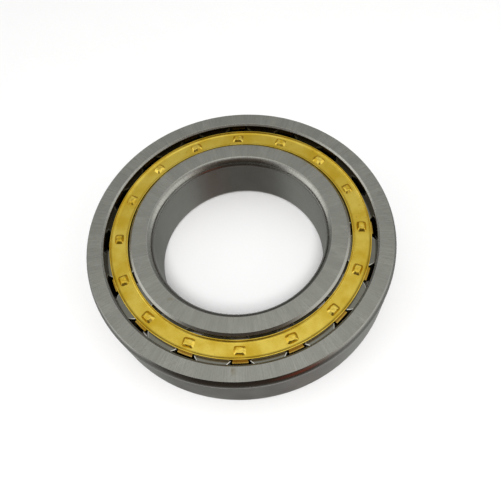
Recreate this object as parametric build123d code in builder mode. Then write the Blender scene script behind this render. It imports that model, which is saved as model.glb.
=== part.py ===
"""Single-row cylindrical roller bearing, 95 mm bore, 170 mm outside diameter, 32 mm wide.

The outer ring has two ribs and the inner ring has one, at the top, so the inner ring can be
drawn out upwards. Sixteen rollers run in a two-piece machined brass cage: a comb, which is a
base ring with one bar between each pair of rollers, and a cover ring. Each bar ends in a square
tenon that passes through the cover and is peened over it as an integral rivet.

Millimetres. The origin is on the axis at half the width, +Z along the axis, ribbed side up.
A rivet lies on +X, and the first roller lies half a pitch round from it.
"""

import os

from build123d import *

# Boundary dimensions
BORE_DIA = 95.0
OUTER_DIA = 170.0
WIDTH = 32.0

# Rolling geometry
ROLLER_COUNT = 16
ROLLER_DIA = 21.0
ROLLER_LENGTH = 22.0
INNER_RACE_DIA = 112.5
RUNNING_GAP = 0.03  # radial, at each raceway
RIB_GAP = 0.06  # axial, at each rib
ROLLER_CORNER = 0.8

# Ribs
OUTER_RIB_BORE_DIA = 149.0
INNER_RIB_DIA = 120.7

# Ring corners, as (radial, axial) size, and how far each arc stands out of its chord
SEAT_CORNER = (1.9, 5.4)
SEAT_BULGE = 0.45
BORE_CORNER = (3.2, 4.8)
BORE_BULGE = 0.8
LOWER_CORNER = 2.1  # both rings, on the plain side
LOWER_BULGE = 0.6
OUTER_RIB_CHAMFER = (1.1, 0.9)
INNER_RIB_CHAMFER = (1.4, 1.1)
LEAD_IN = (0.5, 2.2)  # taper that guides the rollers on to the plain end of the inner raceway
LEAD_IN_CHAMFER = (0.9, 1.0)
RELIEF_RADIUS = 0.6  # grinding relief between a raceway and its rib
RELIEF_INSET = (0.15, 0.26)  # its centre, inside the corner

# Cage
COMB_OUTER_DIA = 146.0
COVER_OUTER_DIA = 143.4
CAGE_BORE_DIA = 123.0
CAGE_TOP = 13.9  # height of the cover's rims above the bearing's centre
CAGE_BOTTOM = 14.3  # depth of the comb's base below it
POCKET_END_GAP = 0.3
POCKET_SIDE_GAP = 0.15
BAR_WIDTH = 8.0
COVER_LAND = (64.1, 69.4)  # radii of the flat between the cover's two rims
RIM_HEIGHT = 1.1
RIM_WIDTH = 0.5
CAGE_EDGE = 0.25
COMB_EDGE = 0.8

# Integral rivets
TENON = (4.0, 4.4)  # radial, tangential
HEAD_FOOT = (5.0, 6.4)
HEAD_TOP = (3.3, 4.5)
HEAD_HEIGHT = 1.3
HEAD_EDGE = 0.25

half_width = WIDTH / 2
lower_wall = LOWER_CORNER - half_width
outer_race_dia = INNER_RACE_DIA + 2 * ROLLER_DIA
pitch_radius = (INNER_RACE_DIA + ROLLER_DIA) / 2
roller_radius = ROLLER_DIA / 2 - RUNNING_GAP
pocket_radius = ROLLER_DIA / 2 + POCKET_SIDE_GAP
rib_face = ROLLER_LENGTH / 2 + RIB_GAP
pocket_half = ROLLER_LENGTH / 2 + POCKET_END_GAP
land_height = CAGE_TOP - RIM_HEIGHT
roller_pitch = 360 / ROLLER_COUNT


def corner_arc(start, end, outwards, bulge):
    """Three points of a ring's convex corner arc, standing out of its chord by bulge."""
    middle = ((start[0] + end[0]) / 2, (start[1] + end[1]) / 2)
    chord = (end[0] - start[0], end[1] - start[1])
    length = (chord[0] ** 2 + chord[1] ** 2) ** 0.5
    normal = (abs(chord[1]) / length * outwards[0], abs(chord[0]) / length * outwards[1])
    bulged = (middle[0] + bulge * normal[0], middle[1] + bulge * normal[1])
    return start, bulged, end


def relief_arc(race_radius, side, up):
    """Three points of the relief groove between a rib face and a raceway, rib face first.

    side is +1 where the metal lies outside the raceway and -1 where it lies inside. up is +1 for
    a rib at the top and -1 for one at the bottom.
    """
    centre_r = race_radius - side * RELIEF_INSET[0]
    centre_z = rib_face - RELIEF_INSET[1]
    on_face = centre_r - side * (RELIEF_RADIUS**2 - RELIEF_INSET[1] ** 2) ** 0.5
    on_race = centre_z - (RELIEF_RADIUS**2 - RELIEF_INSET[0] ** 2) ** 0.5
    diagonal = RELIEF_RADIUS * 0.5**0.5
    return (
        (on_face, up * rib_face),
        (centre_r + side * diagonal, up * (centre_z + diagonal)),
        (race_radius, up * on_race),
    )


def ring_section(pieces):
    """Closes a half section made of pieces: three points make an arc, and lines join the pieces."""
    last = pieces[-1][-1]
    for piece in pieces:
        if piece[0] != last:
            Line(last, piece[0])
        if len(piece) == 3:
            ThreePointArc(*piece)
        last = piece[-1]


os.makedirs("parts", exist_ok=True)

# Outer ring: two ribs, a raceway between them and the housing seat outside
seat_radius = OUTER_DIA / 2
seat_low = half_width - SEAT_CORNER[1]
seat_face = seat_radius - SEAT_CORNER[0]
seat_lower = seat_radius - LOWER_CORNER
rib_bore = OUTER_RIB_BORE_DIA / 2
rib_low = half_width - OUTER_RIB_CHAMFER[1]
rib_edge = rib_bore + OUTER_RIB_CHAMFER[0]
with BuildPart() as outer_ring:
    with BuildSketch(Plane.XZ):
        with BuildLine():
            ring_section(
                [
                    corner_arc((seat_radius, seat_low), (seat_face, half_width), (1, 1), SEAT_BULGE),
                    ((rib_edge, half_width),),
                    ((rib_bore, rib_low),),
                    ((rib_bore, rib_face),),
                    relief_arc(outer_race_dia / 2, 1, 1),
                    relief_arc(outer_race_dia / 2, 1, -1)[::-1],
                    ((rib_bore, -rib_face),),
                    ((rib_bore, -rib_low),),
                    ((rib_edge, -half_width),),
                    corner_arc((seat_lower, -half_width), (seat_radius, lower_wall), (1, -1), LOWER_BULGE),
                ]
            )
        make_face()
    revolve(axis=Axis.Z)
outer_ring.part.label = "outer_ring"
export_step(outer_ring.part, "parts/outer_ring.step")

# Inner ring: one rib at the top, the other end plain
bore_radius = BORE_DIA / 2
bore_low = half_width - BORE_CORNER[1]
bore_face = bore_radius + BORE_CORNER[0]
bore_lower = bore_radius + LOWER_CORNER
rib_radius = INNER_RIB_DIA / 2
inner_race = INNER_RACE_DIA / 2
lead_in_low = half_width - LEAD_IN_CHAMFER[1]
lead_in_high = lead_in_low - LEAD_IN[1]
with BuildPart() as inner_ring:
    with BuildSketch(Plane.XZ):
        with BuildLine():
            ring_section(
                [
                    corner_arc((bore_radius, lower_wall), (bore_lower, -half_width), (-1, -1), LOWER_BULGE),
                    ((inner_race - LEAD_IN[0] - LEAD_IN_CHAMFER[0], -half_width),),
                    ((inner_race - LEAD_IN[0], -lead_in_low),),
                    ((inner_race, -lead_in_high),),
                    relief_arc(inner_race, -1, 1)[::-1],
                    ((rib_radius, rib_face),),
                    ((rib_radius, half_width - INNER_RIB_CHAMFER[1]),),
                    ((rib_radius - INNER_RIB_CHAMFER[0], half_width),),
                    corner_arc((bore_face, half_width), (bore_radius, bore_low), (-1, 1), BORE_BULGE),
                ]
            )
        make_face()
    revolve(axis=Axis.Z)
inner_ring.part.label = "inner_ring"
export_step(inner_ring.part, "parts/inner_ring.step")

# Rollers: one node each, standing between the bars
for index in range(ROLLER_COUNT):
    name = f"roller_{index + 1:02d}"
    angle = (index + 0.5) * roller_pitch
    with BuildPart() as roller:
        with Locations(Location(Vector(pitch_radius, 0, 0).rotate(Axis.Z, angle))):
            Cylinder(roller_radius, ROLLER_LENGTH)
        fillet(roller.edges().filter_by(GeomType.CIRCLE), ROLLER_CORNER)
    roller.part.label = name
    export_step(roller.part, f"parts/{name}.step")

# Cage cover: a washer with a raised rim round each edge and a square hole for every tenon
cover_outer = COVER_OUTER_DIA / 2
cage_bore = CAGE_BORE_DIA / 2
with BuildPart() as cage_cover:
    with BuildSketch(Plane.XZ):
        with BuildLine():
            Polyline(
                (cage_bore, pocket_half),
                (cover_outer, pocket_half),
                (cover_outer, CAGE_TOP - CAGE_EDGE),
                (cover_outer - CAGE_EDGE, CAGE_TOP),
                (cover_outer - RIM_WIDTH, CAGE_TOP),
                (COVER_LAND[1], land_height),
                (COVER_LAND[0], land_height),
                (cage_bore + RIM_WIDTH, CAGE_TOP),
                (cage_bore + CAGE_EDGE, CAGE_TOP),
                (cage_bore, CAGE_TOP - CAGE_EDGE),
                close=True,
            )
        make_face()
    revolve(axis=Axis.Z)
    with BuildSketch(Plane.XY.offset(pocket_half)):
        with PolarLocations(pitch_radius, ROLLER_COUNT):
            Rectangle(*TENON)
    extrude(amount=CAGE_TOP - pocket_half, mode=Mode.SUBTRACT)
cage_cover.part.label = "cage_cover"
export_step(cage_cover.part, "parts/cage_cover.step")

# Cage comb: base ring, bars with hollowed sides, tenons and their peened heads, all one piece
comb_outer = COMB_OUTER_DIA / 2
with BuildPart() as cage_comb:
    with BuildSketch(Plane.XY.offset(-pocket_half)):
        Circle(comb_outer)
        Circle(cage_bore, mode=Mode.SUBTRACT)
    extrude(amount=pocket_half - CAGE_BOTTOM)
    chamfer(cage_comb.edges().group_by(Axis.Z)[0], COMB_EDGE)
    with BuildSketch(Plane.XY.offset(-pocket_half)):
        with PolarLocations((comb_outer + cage_bore) / 2, ROLLER_COUNT):
            Rectangle(comb_outer - cage_bore + 2, BAR_WIDTH)
        Circle(cage_bore, mode=Mode.SUBTRACT)
        Circle(comb_outer, mode=Mode.INTERSECT)
        with PolarLocations(pitch_radius, ROLLER_COUNT, start_angle=roller_pitch / 2):
            Circle(pocket_radius, mode=Mode.SUBTRACT)
    extrude(amount=2 * pocket_half)
    with BuildSketch(Plane.XY.offset(pocket_half)):
        with PolarLocations(pitch_radius, ROLLER_COUNT):
            Rectangle(*TENON)
    extrude(amount=land_height - pocket_half)
    for index in range(ROLLER_COUNT):
        turned = Plane.XY.rotated((0, 0, index * roller_pitch))
        with BuildSketch(turned.offset(land_height)):
            with Locations((pitch_radius, 0)):
                Rectangle(*HEAD_FOOT)
        with BuildSketch(turned.offset(land_height + HEAD_HEIGHT)):
            with Locations((pitch_radius, 0)):
                Rectangle(*HEAD_TOP)
        loft()
    chamfer(cage_comb.edges().group_by(Axis.Z)[-1], HEAD_EDGE)
cage_comb.part.label = "cage_comb"
export_step(cage_comb.part, "parts/cage_comb.step")
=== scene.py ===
"""Looks of a cylindrical roller bearing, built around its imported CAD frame.

Lengths named here are millimetres and are turned into metres where meshes are made. The frame
is the CAD's own: the origin is on the axis at half the width, and +Z points to the ribbed side.
Every round piece is turned from a profile of (radius, height) points, so its edges can carry the
small rounding that the ground and turned parts have. Nothing random is left unseeded.
"""

import math
import random

import bpy
from mathutils import Euler, Matrix, Vector, noise


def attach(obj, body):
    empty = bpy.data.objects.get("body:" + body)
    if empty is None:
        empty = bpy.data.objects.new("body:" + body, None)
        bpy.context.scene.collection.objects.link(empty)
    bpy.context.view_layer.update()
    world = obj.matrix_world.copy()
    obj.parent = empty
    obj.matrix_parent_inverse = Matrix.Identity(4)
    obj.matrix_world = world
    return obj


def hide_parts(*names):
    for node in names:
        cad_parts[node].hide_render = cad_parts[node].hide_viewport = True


MM = 0.001

# Sizes shared with the CAD
HALF_WIDTH = 16.0
SEAT_RADIUS = 85.0
BORE_RADIUS = 47.5
OUTER_RACE = 77.25
INNER_RACE = 56.25
OUTER_RIB = 74.5
INNER_RIB = 60.35
RIB_FACE = 11.06
SEAT_CORNER = (1.9, 5.4)
SEAT_BULGE = 0.45
BORE_CORNER = (3.2, 4.8)
BORE_BULGE = 0.8
LOWER_CORNER = 2.1
LOWER_BULGE = 0.6
OUTER_RIB_CHAMFER = (1.1, 0.9)
INNER_RIB_CHAMFER = (1.4, 1.1)
LEAD_IN = (0.5, 2.2)
LEAD_IN_CHAMFER = (0.9, 1.0)
RELIEF_RADIUS = 0.6
RELIEF_INSET = (0.15, 0.26)
ROLLER_COUNT = 16
ROLLER_PITCH = math.tau / ROLLER_COUNT
PITCH_RADIUS = 66.75
ROLLER_RADIUS = 10.47
ROLLER_HALF = 11.0
ROLLER_CORNER = 0.8
COMB_OUTER = 73.0
COVER_OUTER = 71.7
CAGE_BORE = 61.5
CAGE_TOP = 13.9
CAGE_BOTTOM = 14.3
COVER_BASE = 11.3
RIM_HEIGHT = 1.1
RIM_WIDTH = 0.5
COMB_EDGE = 0.8
BAR_WIDTH = 8.0
POCKET_RADIUS = 10.65
HEAD_HEIGHT = 1.3

# Finer shapes than the CAD has
COVE_WIDTH = 1.5
HEAD_FOOT = (5.3, 6.6)
HEAD_TOP = (2.9, 3.8)

ROLLER_RECESS = ((0.0, 10.55), (2.2, 10.55), (2.9, 10.6), (3.3, 10.85), (3.7, 11.0))

# How the peened heads differ from one another
HEAD_SIZES = (0.95, 1.03)
HEAD_HEIGHTS = (0.86, 1.0)
HEAD_SLIDE = (0.15, 0.2)
HEAD_TILT = 0.05
HEAD_TWIST = 5
HEAD_DENT = 0.128
HEAD_DENT_SCALE = 0.7
HEAD_RAGGED = 0.05
HEAD_RAGGED_SCALE = 1.5
HEAD_NOISE_STEP = (7.3, 3.1)  # how far apart in the noise two neighbouring heads are
HEADS_SEED = 95

BAR_EDGE = 0.25
BAR_EDGE_ANGLE = 50

# Floor and light
FLOOR_HALF_SIZE = 6.0  # metres
FLOOR_DROP = 0.0002  # metres under the bearing
FLOOR_COLORS = ((0.90, 0.90, 0.90), (0.92, 0.92, 0.92))
WASH_PLACE = (60, -560, 1100)
WASH_SIZE = 400
WASH_POWER = 9.0  # watts

# Mesh density
HEAD_SEGMENTS = 40
RING_SEGMENTS = 360
ROLLER_SEGMENTS = 96
ARC_STEPS = 5

# Camera
CAMERA_AIM = (6.72, -16.04, 0.0)
CAMERA_AZIMUTH = 6.27
CAMERA_ELEVATION = 63.13
CAMERA_DISTANCE = 276.4
CAMERA_ROLL = -8.31
CAMERA_LENS = 35.63
CAMERA_SHIFT = (-0.0056, 0.0398)


# ---------------------------------------------------------------- profiles


def round_corner(before, corner, after, radius, steps=ARC_STEPS):
    """The corner of a profile as a short arc of points, of that radius where there is room."""
    p, a, b = Vector(corner), Vector(before), Vector(after)
    to_a, to_b = a - p, b - p
    turn = to_a.angle(to_b)
    reach = radius / math.tan(turn / 2)
    reach = min(reach, to_a.length * 0.45, to_b.length * 0.45)
    start, end = p + to_a.normalized() * reach, p + to_b.normalized() * reach
    points = []
    for i in range(steps + 1):
        t = i / steps
        points.append(start.lerp(p, t).lerp(p.lerp(end, t), t))
    return [(q.x, q.y) for q in points]


def bulged(start, end, outwards, bulge, steps=14):
    """Points of a ring's convex corner, an arc that stands out of its chord by bulge."""
    a, b = Vector(start), Vector(end)
    along = (b - a).normalized()
    normal = Vector((abs(along.y) * outwards[0], abs(along.x) * outwards[1]))
    half = (b - a).length / 2
    radius = (half**2 + bulge**2) / (2 * bulge)
    centre = (a + b) / 2 - normal * (radius - bulge)
    spread = math.asin(half / radius)
    points = []
    for i in range(steps + 1):
        angle = spread * (2 * i / steps - 1)
        q = centre + (normal * math.cos(angle) + along * math.sin(angle)) * radius
        points.append((q.x, q.y))
    return points


def relief(race_radius, side, up, steps=6):
    """Points of the grinding relief between a rib face and a raceway, rib face first."""
    centre = Vector((race_radius - side * RELIEF_INSET[0], RIB_FACE - RELIEF_INSET[1]))
    first = math.atan2(RELIEF_INSET[1], -((RELIEF_RADIUS**2 - RELIEF_INSET[1] ** 2) ** 0.5))
    last = math.atan2(-((RELIEF_RADIUS**2 - RELIEF_INSET[0] ** 2) ** 0.5), RELIEF_INSET[0])
    points = []
    for i in range(steps + 1):
        angle = first + (last - first) * i / steps
        r = centre.x + side * RELIEF_RADIUS * math.cos(angle)
        z = centre.y + RELIEF_RADIUS * math.sin(angle)
        points.append((r, up * z))
    return points


class Profile:
    """A closed half section, built up run by run, with a material index for every run."""

    def __init__(self):
        self.corners = []

    def point(self, r, z, radius, index):
        """A corner rounded by radius; the run after it has material index."""
        self.corners.append(([(r, z)], radius, index))

    def run(self, points, index, index_after):
        """A run of ready points of material index; the run after it has index_after."""
        self.corners.append((list(points), 0, (index, index_after)))

    def outline(self):
        """(points, material index of the run after each point)."""
        points, indices = [], []
        count = len(self.corners)
        for i, (own, radius, index) in enumerate(self.corners):
            if len(own) > 1:
                points += own
                indices += [index[0]] * (len(own) - 1) + [index[1]]
                continue
            before = self.corners[i - 1][0][-1]
            after = self.corners[(i + 1) % count][0][0]
            arc = round_corner(before, own[0], after, radius) if radius else own
            points += arc
            indices += [index] * len(arc)
        return points, indices


def outer_ring_profile():
    """Ribs, raceway and housing seat. Materials: 0 face, 1 seat, 2 corner, 3 raceway, 4 rib wall."""
    p = Profile()
    low = HALF_WIDTH - SEAT_CORNER[1]
    wall = LOWER_CORNER - HALF_WIDTH
    edge = SEAT_RADIUS - SEAT_CORNER[0]
    chamfer_r = OUTER_RIB + OUTER_RIB_CHAMFER[0]
    chamfer_z = HALF_WIDTH - OUTER_RIB_CHAMFER[1]
    p.run(bulged((SEAT_RADIUS, low), (edge, HALF_WIDTH), (1, 1), SEAT_BULGE), 2, 0)
    p.point(chamfer_r, HALF_WIDTH, 0.25, 2)
    p.point(OUTER_RIB, chamfer_z, 0.5, 4)
    p.point(OUTER_RIB, RIB_FACE, 0.15, 3)
    p.run(relief(OUTER_RACE, 1, 1), 4, 3)
    p.run(relief(OUTER_RACE, 1, -1)[::-1], 4, 3)
    p.point(OUTER_RIB, -RIB_FACE, 0.15, 4)
    p.point(OUTER_RIB, -chamfer_z, 0.2, 2)
    p.point(chamfer_r, -HALF_WIDTH, 0.25, 0)
    foot = (SEAT_RADIUS - LOWER_CORNER, -HALF_WIDTH)
    p.run(bulged(foot, (SEAT_RADIUS, wall), (1, -1), LOWER_BULGE), 2, 1)
    return p


def inner_ring_profile():
    """One rib at the top. Materials as on the outer ring."""
    p = Profile()
    low = HALF_WIDTH - BORE_CORNER[1]
    wall = LOWER_CORNER - HALF_WIDTH
    edge = BORE_RADIUS + BORE_CORNER[0]
    lead_low = HALF_WIDTH - LEAD_IN_CHAMFER[1]
    foot = (BORE_RADIUS + LOWER_CORNER, -HALF_WIDTH)
    p.run(bulged((BORE_RADIUS, wall), foot, (-1, -1), LOWER_BULGE), 2, 0)
    p.point(INNER_RACE - LEAD_IN[0] - LEAD_IN_CHAMFER[0], -HALF_WIDTH, 0.2, 2)
    p.point(INNER_RACE - LEAD_IN[0], -lead_low, 0.2, 2)
    p.point(INNER_RACE, LEAD_IN[1] - lead_low, 0.4, 3)
    p.run(relief(INNER_RACE, -1, 1)[::-1], 4, 3)
    p.point(INNER_RIB, RIB_FACE, 0.15, 4)
    p.point(INNER_RIB, HALF_WIDTH - INNER_RIB_CHAMFER[1], 0.3, 2)
    p.point(INNER_RIB - INNER_RIB_CHAMFER[0], HALF_WIDTH, 0.3, 0)
    p.run(bulged((edge, HALF_WIDTH), (BORE_RADIUS, low), (-1, 1), BORE_BULGE), 2, 1)
    return p


def cover_profile():
    """Cover ring, coved between its rims and the land with the rivets. Materials: 0 top, 1 walls."""
    p = Profile()
    land = CAGE_TOP - RIM_HEIGHT
    p.point(CAGE_BORE, COVER_BASE, 0.15, 1)
    p.point(COVER_OUTER, COVER_BASE, 0.15, 1)
    p.point(COVER_OUTER, CAGE_TOP, 0.3, 0)
    outer = cove(COVER_OUTER - RIM_WIDTH, -1, land)
    inner = cove(CAGE_BORE + RIM_WIDTH, 1, land)[::-1]
    p.run(outer, 0, 0)
    p.run(inner, 0, 0)
    p.point(CAGE_BORE, CAGE_TOP, 0.3, 0)
    return p


def cove(rim, side, land, steps=10):
    """Points of the hollow arc from a rim's top, where it is upright, down to the level land."""
    points = []
    for i in range(steps + 1):
        angle = math.pi / 2 * (1 - i / steps)
        r = rim + side * COVE_WIDTH * (1 - math.sin(angle))
        points.append((r, land + RIM_HEIGHT * (1 - math.cos(angle))))
    return points


def base_profile():
    """The comb's base ring, chamfered along its lower edges."""
    p = Profile()
    p.point(CAGE_BORE, -COVER_BASE, 0.15, 0)
    p.point(CAGE_BORE, -CAGE_BOTTOM + COMB_EDGE, 0.2, 0)
    p.point(CAGE_BORE + COMB_EDGE, -CAGE_BOTTOM, 0.2, 0)
    p.point(COMB_OUTER - COMB_EDGE, -CAGE_BOTTOM, 0.2, 0)
    p.point(COMB_OUTER, -CAGE_BOTTOM + COMB_EDGE, 0.2, 0)
    p.point(COMB_OUTER, -COVER_BASE, 0.15, 0)
    return p


# ---------------------------------------------------------------- meshes


def finish_mesh(name, verts, faces, indices=None, sharp_angle=40):
    """An object from vertices in metres, smooth but for edges sharper than sharp_angle."""
    mesh = bpy.data.meshes.new(name)
    mesh.from_pydata(verts, [], faces)
    mesh.update()
    if indices:
        mesh.polygons.foreach_set("material_index", indices)
    mesh.shade_smooth()
    mesh.set_sharp_from_angle(angle=math.radians(sharp_angle))
    obj = bpy.data.objects.new(name, mesh)
    bpy.context.scene.collection.objects.link(obj)
    return obj


def weight_normals(obj):
    """Keeps wide flat faces flat next to their small rounded edges."""
    modifier = obj.modifiers.new("weighted_normals", "WEIGHTED_NORMAL")
    modifier.keep_sharp = True
    modifier.weight = 100


def turned(name, profile, segments=RING_SEGMENTS):
    """A body of revolution about Z, from a profile in millimetres."""
    outline, run_indices = profile.outline()
    count = len(outline)
    verts, faces, indices = [], [], []
    for s in range(segments):
        angle = math.tau * s / segments
        for r, z in outline:
            verts.append((r * MM * math.cos(angle), r * MM * math.sin(angle), z * MM))
    for s in range(segments):
        here, there = s * count, (s + 1) % segments * count
        for i in range(count):
            j = (i + 1) % count
            faces.append((here + i, there + i, there + j, here + j))
            indices.append(run_indices[i])
    obj = finish_mesh(name, verts, faces, indices)
    mesh = obj.data
    if mesh_volume(mesh) < 0:
        mesh.flip_normals()
    weight_normals(obj)
    return obj


def mesh_volume(mesh):
    """Signed volume, negative where the faces point inwards."""
    total = 0
    for face in mesh.polygons:
        corner = [mesh.vertices[i].co for i in face.vertices]
        for k in range(1, len(corner) - 1):
            total += corner[0].dot(corner[k].cross(corner[k + 1]))
    return total


def bar_outline(steps=14):
    """Outline of one bar, centred on +X, in mm: pocket sides are hollow, the ends are arcs."""
    centre = (PITCH_RADIUS * math.cos(ROLLER_PITCH / 2), PITCH_RADIUS * math.sin(ROLLER_PITCH / 2))

    def half_width(x):
        inside = POCKET_RADIUS**2 - (x - centre[0]) ** 2
        if inside <= 0:
            return BAR_WIDTH / 2
        return min(BAR_WIDTH / 2, centre[1] - inside**0.5)

    side = []
    for i in range(steps + 1):
        x = CAGE_BORE + (COMB_OUTER - CAGE_BORE) * i / steps
        y = half_width(x)
        if i in (0, steps):
            limit = CAGE_BORE if i == 0 else COMB_OUTER
            x = (limit**2 - y**2) ** 0.5
        side.append((x, y))
    outer, inner = [], []
    for i in range(1, 6):
        y = side[-1][1] * (1 - i / 3)
        outer.append(((COMB_OUTER**2 - y**2) ** 0.5, y))
        y = -side[0][1] * (1 - i / 3)
        inner.append(((CAGE_BORE**2 - y**2) ** 0.5, y))
    lower = [(x, -y) for x, y in reversed(side)]
    return side + outer + lower + inner


def bars():
    """All sixteen bars of the comb, in one mesh, with broken edges."""
    outline = bar_outline()
    count = len(outline)
    verts, faces = [], []
    for k in range(ROLLER_COUNT):
        turn = Matrix.Rotation(k * ROLLER_PITCH, 3, "Z")
        start = len(verts)
        for z in (-COVER_BASE, COVER_BASE):
            for x, y in outline:
                verts.append(turn @ (Vector((x, y, z)) * MM))
        for i in range(count):
            j = (i + 1) % count
            faces.append((start + i, start + j, start + count + j, start + count + i))
        faces.append(tuple(start + count + i for i in range(count)))
        faces.append(tuple(start + i for i in reversed(range(count))))
    obj = finish_mesh("comb_bars", verts, faces)
    if mesh_volume(obj.data) < 0:
        obj.data.flip_normals()
    bevel = obj.modifiers.new("broken_edges", "BEVEL")
    bevel.width = BAR_EDGE * MM
    bevel.segments = 2
    bevel.angle_limit = math.radians(BAR_EDGE_ANGLE)
    # The bevel faces take material 1, the lighter edge brass, as a painted highlight.
    bevel.material = 1
    weight_normals(obj)
    return obj


HEAD_SINK = 0.1  # how far a head's foot reaches into the land
HEAD_SQUARENESS = 5  # exponent of its superellipse outline
HEAD_MIDDLE = 0.96  # height of the very middle of the top, as a fraction
HEAD_TOP_SIZE = 0.71  # size at which its outline is HEAD_TOP; smaller ones lie on the top
HEAD_LEVELS = (  # height and size of a peened head, as fractions, from its foot to its middle
    (0.0, 1.00),
    (0.33, 0.905),
    (0.66, 0.81),
    (0.97, 0.72),
    (1.0, 0.66),
    (1.0, 0.45),
    (0.98, 0.20),
)


def rivet_head(index, rng):
    """One peened head: a squarish pad with sloping sides, each hammered a little differently."""
    around = HEAD_SEGMENTS
    foot = [side / 2 * rng.uniform(*HEAD_SIZES) for side in HEAD_FOOT]
    top = (HEAD_TOP[0] / HEAD_FOOT[0], HEAD_TOP[1] / HEAD_FOOT[1])
    height = HEAD_HEIGHT * rng.uniform(*HEAD_HEIGHTS)
    slide = Vector((*[rng.uniform(-most, most) for most in HEAD_SLIDE], 0))
    tilt = [rng.uniform(-HEAD_TILT, HEAD_TILT) for _ in "xy"]
    twist = math.radians(rng.uniform(-HEAD_TWIST, HEAD_TWIST))
    seed = Vector((index * HEAD_NOISE_STEP[0], index * HEAD_NOISE_STEP[1], 0))
    land = CAGE_TOP - RIM_HEIGHT
    turn = Matrix.Rotation(index * ROLLER_PITCH, 3, "Z")
    verts, faces = [], []
    for level, size in HEAD_LEVELS:
        shrink = min((1 - size) / (1 - HEAD_TOP_SIZE), 1)
        inner = min(size / HEAD_TOP_SIZE, 1)
        scale = [(1 - (1 - top[k]) * shrink) * inner for k in (0, 1)]
        for i in range(around):
            angle = math.tau * i / around
            c, s = math.cos(angle), math.sin(angle)
            power = abs(c) ** HEAD_SQUARENESS + abs(s) ** HEAD_SQUARENESS
            square = power ** (-1 / HEAD_SQUARENESS)
            x = foot[0] * square * c * scale[0]
            y = foot[1] * square * s * scale[1]
            dent = noise.noise(Vector((x, y, 0)) * HEAD_DENT_SCALE + seed) * HEAD_DENT
            rise = height + HEAD_SINK + dent + tilt[0] * x + tilt[1] * y
            z = min(land - HEAD_SINK + rise * level, land + HEAD_HEIGHT)
            spread = 1 + HEAD_RAGGED * noise.noise(Vector((c, s, 0)) * HEAD_RAGGED_SCALE + seed)
            p = Vector((x * spread, y * spread, 0))
            p.rotate(Euler((0, 0, twist)))
            verts.append(turn @ ((p + slide + Vector((PITCH_RADIUS, 0, z))) * MM))
    rings = len(HEAD_LEVELS)
    middle = turn @ ((slide + Vector((PITCH_RADIUS, 0, land + height * HEAD_MIDDLE))) * MM)
    verts.append(middle)
    for k in range(rings - 1):
        for i in range(around):
            j = (i + 1) % around
            faces.append((k * around + i, k * around + j, (k + 1) * around + j, (k + 1) * around + i))
    last = (rings - 1) * around
    for i in range(around):
        faces.append((last + i, last + (i + 1) % around, rings * around))
    faces.append(tuple(reversed(range(around))))
    obj = finish_mesh(f"rivet_head_{index + 1:02d}", verts, faces, sharp_angle=34)
    weight_normals(obj)
    return obj


def roller_mesh(name, angle):
    """A roller with a shallow turned recess in each end. Materials: 0 body, 1 ends (painted shade), 2
    corners (painted highlight).
    """
    on_end, on_body = (ROLLER_RADIUS / 2, ROLLER_HALF), (ROLLER_RADIUS, ROLLER_HALF / 2)
    arc = round_corner(on_end, (ROLLER_RADIUS, ROLLER_HALF), on_body, ROLLER_CORNER, 6)
    half = [*ROLLER_RECESS, *arc]
    outline = half + [(r, -z) for r, z in reversed(half)]
    ends = len(half) - 1
    corners = range(len(half) - len(arc), ends)
    verts, faces, indices = [], [], []
    centre = Vector((PITCH_RADIUS * math.cos(angle), PITCH_RADIUS * math.sin(angle), 0))
    rings = outline[1:-1]
    for r, z in rings:
        for s in range(ROLLER_SEGMENTS):
            a = math.tau * s / ROLLER_SEGMENTS
            verts.append((centre + Vector((r * math.cos(a), r * math.sin(a), z))) * MM)
    for k in range(len(rings) - 1):
        for s in range(ROLLER_SEGMENTS):
            t = (s + 1) % ROLLER_SEGMENTS
            row, after = k * ROLLER_SEGMENTS, (k + 1) * ROLLER_SEGMENTS
            faces.append((row + s, after + s, after + t, row + t))
            from_end = min(k, len(rings) - 2 - k) + 1
            indices.append(0 if k == ends - 1 else 2 if from_end in corners else 1)
    for pole, row, order in ((outline[0], 0, 1), (outline[-1], (len(rings) - 1) * ROLLER_SEGMENTS, -1)):
        verts.append((centre + Vector((0, 0, pole[1]))) * MM)
        tip = len(verts) - 1
        for s in range(ROLLER_SEGMENTS):
            t = (s + 1) % ROLLER_SEGMENTS
            faces.append((row + s, row + t, tip) if order > 0 else (row + t, row + s, tip))
            indices.append(1)
    obj = finish_mesh(name, verts, faces, indices)
    weight_normals(obj)
    return obj


# ---------------------------------------------------------------- materials


STAIN_COLOR = (0.20, 0.155, 0.07)
RANGE_SOCKETS = ("From Min", "From Max", "To Min", "To Max")


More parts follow.
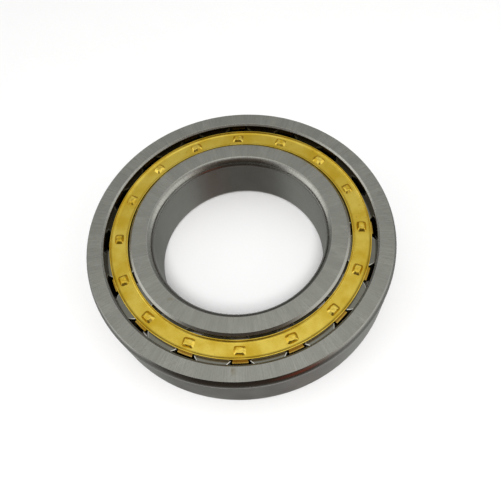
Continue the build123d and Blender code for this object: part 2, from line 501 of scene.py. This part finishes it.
class Nodes:
    """Short ways to add shader nodes to one material."""

    def __init__(self, name):
        self.material = bpy.data.materials.new(name)
        self.material.use_nodes = True
        self.tree = self.material.node_tree
        self.shader = self.tree.nodes["Principled BSDF"]

    def add(self, kind, **settings):
        node = self.tree.nodes.new(kind)
        for key, value in settings.items():
            setattr(node, key, value)
        return node

    def link(self, source, target):
        self.tree.links.new(source, target)

    def math(self, operation, a, b=None):
        node = self.add("ShaderNodeMath", operation=operation)
        for socket, value in zip(node.inputs, (a, b)):
            if value is None:
                continue
            if isinstance(value, (int, float)):
                socket.default_value = value
            else:
                self.link(value, socket)
        return node.outputs[0]

    def ramp(self, value, low, high, out_low=0.0, out_high=1.0):
        node = self.add("ShaderNodeMapRange", interpolation_type="SMOOTHSTEP")
        self.link(value, node.inputs["Value"])
        for key, number in zip(RANGE_SOCKETS, (low, high, out_low, out_high)):
            node.inputs[key].default_value = number
        return node.outputs["Result"]

    def noise(self, vector, scale, detail=2.0, roughness=0.5):
        node = self.add("ShaderNodeTexNoise")
        node.inputs["Scale"].default_value = scale
        node.inputs["Detail"].default_value = detail
        node.inputs["Roughness"].default_value = roughness
        self.link(vector, node.inputs["Vector"])
        return node.outputs["Fac"]

    def mix(self, factor, a, b):
        node = self.add("ShaderNodeMix", data_type="RGBA")
        for socket, value in ((node.inputs[0], factor), (node.inputs[6], a), (node.inputs[7], b)):
            if isinstance(value, (int, float)):
                socket.default_value = value
            elif isinstance(value, tuple):
                socket.default_value = (*value, 1.0)
            else:
                self.link(value, socket)
        return node.outputs[2]

    def object_position(self):
        return self.add("ShaderNodeTexCoord").outputs["Object"]

    def polar(self, position, twist=0.0):
        """(radius, height, unit vector round the axis), turned by twist radians per metre of radius."""
        parts = self.add("ShaderNodeSeparateXYZ")
        self.link(position, parts.inputs[0])
        x, y, z = parts.outputs
        squares = self.math("MULTIPLY", x, x), self.math("MULTIPLY", y, y)
        radius = self.math("SQRT", self.math("ADD", *squares))
        angle = self.math("ARCTAN2", y, x)
        if twist:
            angle = self.math("ADD", angle, self.math("MULTIPLY", radius, twist))
        return radius, z, self.math("COSINE", angle), self.math("SINE", angle)

    def ring_lines(self, cosine, sine, shrink, along, scale):
        """Noise drawn out into lines round the axis, which change with along."""
        around = (self.math("MULTIPLY", cosine, shrink), self.math("MULTIPLY", sine, shrink))
        return self.noise(self.vector(*around, along), scale, 2.0)

    def vector(self, x, y, z):
        node = self.add("ShaderNodeCombineXYZ")
        for socket, value in zip(node.inputs, (x, y, z)):
            if isinstance(value, (int, float)):
                socket.default_value = value
            else:
                self.link(value, socket)
        return node.outputs[0]

    def bump(self, height, strength, distance):
        node = self.add("ShaderNodeBump")
        node.inputs["Strength"].default_value = strength
        node.inputs["Distance"].default_value = distance
        self.link(height, node.inputs["Height"])
        self.link(node.outputs["Normal"], self.shader.inputs["Normal"])

    def metal(self, anisotropy, rotation):
        """Bare metal with a drawn-out highlight, its tangent turned from the axis's circle by rotation."""
        self.shader.inputs["Metallic"].default_value = 1.0
        self.shader.inputs["Anisotropic"].default_value = anisotropy
        self.shader.inputs["Anisotropic Rotation"].default_value = rotation
        tangent = self.add("ShaderNodeTangent", direction_type="RADIAL", axis="Z")
        self.link(tangent.outputs["Tangent"], self.shader.inputs["Tangent"])


def face_steel(name, base, rough):
    """Side faces: plunge ground, so fine lines run across the face, with a few faint oil stains.

    base is the mean colour and rough the roughness in the lines' bottoms.
    """
    n = Nodes(name)
    n.metal(0.35, 0.25)
    position = n.object_position()
    radius, _, cosine, sine = n.polar(position)
    fine = n.noise(n.vector(cosine, sine, n.math("MULTIPLY", radius, 0.35)), 260.0, 3.0, 0.6)
    _, _, cosine_l, sine_l = n.polar(position, 14.0)
    _, _, cosine_r, sine_r = n.polar(position, -22.0)
    left = n.noise(n.vector(cosine_l, sine_l, n.math("MULTIPLY", radius, 0.4)), 420.0, 2.0)
    right = n.noise(n.vector(cosine_r, sine_r, n.math("MULTIPLY", radius, 0.4)), 420.0, 2.0)
    broad = n.noise(n.vector(cosine, sine, n.math("MULTIPLY", radius, 2.0)), 9.0, 4.0)
    crossed = n.math("MULTIPLY", n.math("ADD", left, right), 0.25)
    lines = n.math("ADD", n.math("MULTIPLY", fine, 0.5), crossed)
    stain = n.ramp(n.noise(position, 85.0, 3.0, 0.6), 0.66, 0.78, 0.0, 0.45)
    dark = tuple(c * 0.74 for c in base)
    light = tuple(min(c * 1.22, 1) for c in base)
    color = n.mix(n.ramp(lines, 0.36, 0.64), dark, light)
    color = n.mix(n.ramp(broad, 0.38, 0.62, 0.0, 0.45), color, tuple(c * 0.80 for c in base))
    color = n.mix(stain, color, STAIN_COLOR)
    n.link(color, n.shader.inputs["Base Color"])
    in_lines = n.ramp(lines, 0.35, 0.65, rough, rough + 0.10)
    n.link(n.math("ADD", in_lines, n.math("MULTIPLY", stain, 0.15)), n.shader.inputs["Roughness"])
    n.bump(lines, 0.35, 0.00004)
    return n.material


def round_steel(name, base, rough, contrast=0.10, anisotropy=0.45):
    """Seats, ribs and raceways: ground or honed round the axis."""
    n = Nodes(name)
    n.metal(anisotropy, 0.25)
    position = n.object_position()
    _, height, cosine, sine = n.polar(position)
    lines = n.ring_lines(cosine, sine, 0.02, height, 5200.0)
    cloud = n.noise(position, 55.0, 3.0)
    dark = tuple(c * (1 - contrast) for c in base)
    light = tuple(min(c * (1 + contrast), 1) for c in base)
    color = n.mix(n.ramp(lines, 0.35, 0.65), dark, light)
    color = n.mix(n.ramp(cloud, 0.4, 0.7, 0.0, 0.35), color, tuple(c * 0.86 for c in base))
    n.link(color, n.shader.inputs["Base Color"])
    low, high = rough - 0.05, rough + 0.06
    smear = n.math("ADD", n.math("MULTIPLY", lines, 0.5), n.math("MULTIPLY", cloud, 0.5))
    n.link(n.ramp(smear, 0.35, 0.65, low, high), n.shader.inputs["Roughness"])
    n.bump(lines, 0.25, 0.00003)
    return n.material


def turned_steel(name, base):
    """Corner arcs and reliefs: turned before hardening, darker than the ground faces."""
    n = Nodes(name)
    n.metal(0.3, 0.0)
    position = n.object_position()
    radius, height, cosine, sine = n.polar(position)
    along = n.math("SUBTRACT", height, radius)
    lines = n.ring_lines(cosine, sine, 0.03, along, 4200.0)
    cloud = n.noise(position, 120.0, 3.0)
    color = n.mix(n.ramp(lines, 0.35, 0.65), tuple(c * 0.85 for c in base), tuple(c * 1.12 for c in base))
    color = n.mix(n.ramp(cloud, 0.45, 0.75, 0.0, 0.3), color, tuple(c * 0.85 for c in base))
    n.link(color, n.shader.inputs["Base Color"])
    n.link(n.ramp(cloud, 0.3, 0.7, 0.24, 0.29), n.shader.inputs["Roughness"])
    n.bump(lines, 0.15, 0.00003)
    return n.material


def brass(name, base, rough, turned_lines, cloud_scale=70.0):
    """Cage brass: machining lines round the axis, soft clouds of tarnish and small nicks."""
    n = Nodes(name)
    n.metal(0.3, 0.0)
    position = n.object_position()
    radius, height, cosine, sine = n.polar(position)
    along = n.math("ADD", height, radius)
    lines = n.ring_lines(cosine, sine, 0.02, along, 3600.0)
    cloud = n.noise(position, cloud_scale, 4.0, 0.55)
    grain = n.noise(position, 1400.0, 2.0)
    nick = n.ramp(n.noise(position, 420.0, 1.0), 0.72, 0.80, 0.0, 1.0)
    pale = (min(base[0] * 1.08, 1), base[1] * 1.10, base[2] * 1.5)
    deep = (base[0] * 0.90, base[1] * 0.80, base[2] * 0.45)
    color = n.mix(n.ramp(cloud, 0.35, 0.68), pale, deep)
    color = n.mix(n.ramp(lines, 0.35, 0.65, 0.0, turned_lines), color, tuple(c * 0.82 for c in base))
    color = n.mix(n.math("MULTIPLY", nick, 0.35), color, (base[0] * 0.55, base[1] * 0.45, base[2] * 0.3))
    n.link(color, n.shader.inputs["Base Color"])
    smear = n.math("ADD", n.math("MULTIPLY", cloud, 0.6), n.math("MULTIPLY", grain, 0.4))
    n.link(n.ramp(smear, 0.35, 0.65, rough - 0.06, rough + 0.10), n.shader.inputs["Roughness"])
    height_map = n.math("ADD", n.math("MULTIPLY", lines, turned_lines), n.math("MULTIPLY", grain, 0.25))
    height_map = n.math("SUBTRACT", height_map, n.math("MULTIPLY", nick, 0.8))
    n.bump(height_map, 0.3, 0.00006)
    return n.material


# ---------------------------------------------------------------- scene


def dress(obj, body, node, materials):
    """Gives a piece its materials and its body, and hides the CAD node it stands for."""
    for material in materials:
        obj.data.materials.append(material)
    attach(obj, body)
    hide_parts(node)


def build_object():
    """All the pieces of the bearing."""
    face = face_steel("steel_face_ground", (0.318, 0.320, 0.284), 0.30)
    seat = round_steel("steel_seat_ground", (0.36, 0.36, 0.33), 0.38, 0.10, 0.75)
    rounded = turned_steel("steel_corner_turned", (0.36, 0.358, 0.325))
    # The raceways' base is about half as bright as the faces' base.
    race = round_steel("steel_raceway_dark", (0.16, 0.145, 0.105), 0.18, 0.05)
    # The rib walls get a very dark base: painted shade for the gap between the rings and the cage.
    rib = round_steel("steel_rib_painted_shade", (0.10, 0.085, 0.05), 0.24, 0.08)
    ring_materials = [face, seat, rounded, race, rib]
    roller_body = round_steel("steel_roller_body", (0.24, 0.235, 0.20), 0.16, 0.04)
    # The roller ends are darker than the bodies: painted shade, as they sit deep in the gap under the
    # cage.
    roller_end = round_steel("steel_roller_end_painted_shade", (0.17, 0.168, 0.140), 0.08, 0.05, 0.1)
    # The roller corners are much lighter than the bodies: a painted highlight along their rounding.
    roller_edge = round_steel("steel_roller_edge_painted_highlight", (0.55, 0.55, 0.50), 0.16, 0.04)
    brass_base = (0.70, 0.525, 0.068)
    cover_brass = brass("brass_cover_turned", brass_base, 0.34, 0.30)
    # The comb brass is darker than the cover's: painted shade, as the comb lies deep in the gap; the
    # cover's walls take it too.
    comb_brass = brass("brass_comb_painted_shade", (0.42, 0.27, 0.045), 0.12, 0.2)
    # The bars' bevels get a lighter brass: a painted highlight along their edges.
    edge_brass = brass("brass_comb_edge_painted_highlight", (0.70, 0.50, 0.12), 0.20, 0.1)
    head_brass = brass("brass_head_peened", (0.72, 0.53, 0.070), 0.28, 0.0, 260.0)

    outer = turned("outer_ring_look", outer_ring_profile())
    dress(outer, "outer_ring", "outer_ring", ring_materials)
    inner = turned("inner_ring_look", inner_ring_profile())
    dress(inner, "inner_ring", "inner_ring", ring_materials)
    cover = turned("cover_look", cover_profile())
    # The cover's walls, material 1, take the darker comb brass with its painted shade.
    dress(cover, "cage", "cage_cover", [cover_brass, comb_brass])
    base = turned("comb_base", base_profile())
    dress(base, "cage", "cage_comb", [comb_brass])
    dress(bars(), "cage", "cage_comb", [comb_brass, edge_brass])
    rng = random.Random(HEADS_SEED)
    for index in range(ROLLER_COUNT):
        dress(rivet_head(index, rng), "cage", "cage_comb", [head_brass])
    for index in range(ROLLER_COUNT):
        node = f"roller_{index + 1:02d}"
        obj = roller_mesh(f"{node}_look", (index + 0.5) * ROLLER_PITCH)
        dress(obj, node, node, [roller_body, roller_end, roller_edge])


def add_floor():
    """A plain pale floor under the bearing."""
    size = FLOOR_HALF_SIZE
    z = -HALF_WIDTH * MM - FLOOR_DROP
    verts = [(x * size, y * size, z) for x, y in ((-1, -1), (1, -1), (1, 1), (-1, 1))]
    floor = finish_mesh("floor", verts, [(0, 1, 2, 3)])
    n = Nodes("floor_paper")
    position = n.object_position()
    color = n.mix(n.noise(position, 30.0, 3.0), *FLOOR_COLORS)
    n.link(color, n.shader.inputs["Base Color"])
    n.shader.inputs["Roughness"].default_value = 0.9
    floor.data.materials.append(n.material)
    floor.visible_glossy = False


JUST_OVER_ONE = 1.0001  # keeps the level share of straight up above zero, so it can be divided by
SKY_LEVELS = (  # sine of the elevation, and the brightness seen there
    (-1.0, 0.85),
    (-0.95, 0.60),
    (-0.86, 0.34),
    (-0.40, 0.24),
    (0.0, 0.15),
    (0.40, 0.32),
    (0.70, 0.58),
    (0.87, 0.80),
    (0.96, 1.10),
    (1.0, 1.20),
)
SIDE_PANELS = (  # sign of X, share of X in the level direction where it starts and is full, brightness
    (1, 0.42, 0.62, 1.25),
    (-1, 0.72, 0.95, 1.50),
)
PANEL_BACK = (0.15, 0.60, 0.35)  # share of +Y where a panel begins to fade and has faded, and what is left
PANEL_FOOT = (-0.72, -0.10)  # sine of the elevation where the panels start and are full
PANEL_TOP = (0.62, 0.88)  # and where they begin to fade and have faded
DARK_FRONT = (0.50, 0.85, 0.24)  # share of -Y where the dark starts and is full, and what is left
DARK_FRONT_FOOT = (-0.93, -0.70)  # sine of the elevation where it starts and is full
DARK_FRONT_TOP = (0.76, 0.92)  # and where it begins to fade and has faded
FRONT_TINT = (1.0, 0.78, 0.64)
WARM_SPOT = (0.44, -0.83, -0.35)  # direction of a faint red glow low at the front right
WARM_SPOT_SHARE = (0.970, 0.998)  # cosine from that direction where it starts and is full
WARM_SPOT_COLOR = (0.32, 0.055, 0.025)


def add_world():
    """A soft tent: bright overhead, a pale panel on each side, dark and warm at the front."""
    world = bpy.data.worlds.new("studio_tent")
    bpy.context.scene.world = world
    world.use_nodes = True
    tree = world.node_tree

    def node(kind, **settings):
        made = tree.nodes.new(kind)
        for key, value in settings.items():
            setattr(made, key, value)
        return made

    def calc(operation, a, b=0.0):
        made = node("ShaderNodeMath", operation=operation)
        for socket, value in zip(made.inputs, (a, b)):
            if isinstance(value, (int, float)):
                socket.default_value = value
            else:
                tree.links.new(value, socket)
        return made.outputs[0]

    def fade(value, low, high, out_low, out_high):
        made = node("ShaderNodeMapRange", interpolation_type="SMOOTHSTEP")
        tree.links.new(value, made.inputs["Value"])
        for key, number in zip(RANGE_SOCKETS, (low, high, out_low, out_high)):
            made.inputs[key].default_value = number
        return made.outputs["Result"]

    parts = node("ShaderNodeSeparateXYZ")
    direction = node("ShaderNodeTexCoord").outputs["Generated"]
    tree.links.new(direction, parts.inputs[0])
    x, y, z = parts.outputs
    level = calc("SQRT", calc("SUBTRACT", JUST_OVER_ONE, calc("MULTIPLY", z, z)))
    side, away = calc("DIVIDE", x, level), calc("DIVIDE", y, level)

    sky = node("ShaderNodeValToRGB")
    tree.links.new(calc("MULTIPLY", calc("ADD", z, 1.0), 0.5), sky.inputs["Fac"])
    elements = sky.color_ramp.elements
    elements.remove(elements[-1])
    for i, (sine, shade) in enumerate(SKY_LEVELS):
        place = (sine + 1) / 2
        element = elements[0] if i == 0 else elements.new(place)
        element.position = place
        element.color = (shade, shade, shade, 1.0)

    height = calc("MULTIPLY", fade(z, *PANEL_FOOT, 0.0, 1.0), fade(z, *PANEL_TOP, 1.0, 0.0))
    height = calc("MULTIPLY", height, fade(away, *PANEL_BACK[:2], 1.0, PANEL_BACK[2]))
    total = sky.outputs["Color"]
    for sign, start, full, shade in SIDE_PANELS:
        panel = fade(calc("MULTIPLY", side, float(sign)), start, full, 0.0, shade)
        total = calc("MAXIMUM", total, calc("MULTIPLY", panel, height))

    span = calc("MULTIPLY", fade(z, *DARK_FRONT_FOOT, 0.0, 1.0), fade(z, *DARK_FRONT_TOP, 1.0, 0.0))
    dark = calc("MULTIPLY", fade(calc("MULTIPLY", away, -1.0), *DARK_FRONT[:2], 0.0, 1.0), span)
    mix = node("ShaderNodeMix", data_type="RGBA", blend_type="MULTIPLY")
    tree.links.new(dark, mix.inputs[0])
    tree.links.new(total, mix.inputs[6])
    mix.inputs[7].default_value = (*(c * DARK_FRONT[2] for c in FRONT_TINT), 1.0)

    toward = node("ShaderNodeVectorMath", operation="DOT_PRODUCT")
    tree.links.new(direction, toward.inputs[0])
    toward.inputs[1].default_value = Vector(WARM_SPOT).normalized()
    glow = node("ShaderNodeMix", data_type="RGBA")
    tree.links.new(fade(toward.outputs["Value"], *WARM_SPOT_SHARE, 0.0, 1.0), glow.inputs[0])
    tree.links.new(mix.outputs[2], glow.inputs[6])
    glow.inputs[7].default_value = (*WARM_SPOT_COLOR, 1.0)
    tree.links.new(glow.outputs[2], tree.nodes["Background"].inputs["Color"])


def add_light(name, place, aim, size, power, reflected):
    """A square soft light at place, pointing at aim, both in millimetres."""
    data = bpy.data.lights.new(name, "AREA")
    data.size = size * MM
    data.energy = power
    light = bpy.data.objects.new(name, data)
    light.location = Vector(place) * MM
    light.rotation_euler = (Vector(aim) - Vector(place)).to_track_quat("-Z", "Y").to_euler()
    light.visible_glossy = reflected
    bpy.context.scene.collection.objects.link(light)


def add_camera():
    """The camera, aimed and rolled as the object is seen."""
    data = bpy.data.cameras.new("camera")
    data.lens = CAMERA_LENS
    data.sensor_width = 36.0
    data.sensor_fit = "HORIZONTAL"
    data.shift_x, data.shift_y = CAMERA_SHIFT
    data.clip_start = 0.01
    data.clip_end = 20.0
    azimuth, elevation = math.radians(CAMERA_AZIMUTH), math.radians(CAMERA_ELEVATION)
    level, rise = CAMERA_DISTANCE * math.cos(elevation), CAMERA_DISTANCE * math.sin(elevation)
    offset = Vector((level * math.sin(azimuth), -level * math.cos(azimuth), rise))
    camera = bpy.data.objects.new("camera", data)
    roll = Matrix.Rotation(math.radians(CAMERA_ROLL), 3, "Z")
    turn = (-offset).to_track_quat("-Z", "Y").to_matrix() @ roll
    camera.matrix_world = Matrix.Translation((Vector(CAMERA_AIM) + offset) * MM) @ turn.to_4x4()
    bpy.context.scene.collection.objects.link(camera)
    bpy.context.scene.camera = camera


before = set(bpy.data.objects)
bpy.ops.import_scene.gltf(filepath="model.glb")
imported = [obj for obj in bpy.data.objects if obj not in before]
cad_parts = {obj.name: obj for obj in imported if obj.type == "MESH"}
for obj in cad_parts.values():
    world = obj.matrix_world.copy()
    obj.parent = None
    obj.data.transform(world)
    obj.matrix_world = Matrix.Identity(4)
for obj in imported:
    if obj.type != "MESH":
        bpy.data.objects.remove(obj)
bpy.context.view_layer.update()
bpy.context.scene.view_settings.view_transform = "Standard"
build_object()
add_floor()
add_world()
add_light("floor_wash", WASH_PLACE, (0, 0, 0), WASH_SIZE, WASH_POWER, False)
add_camera()
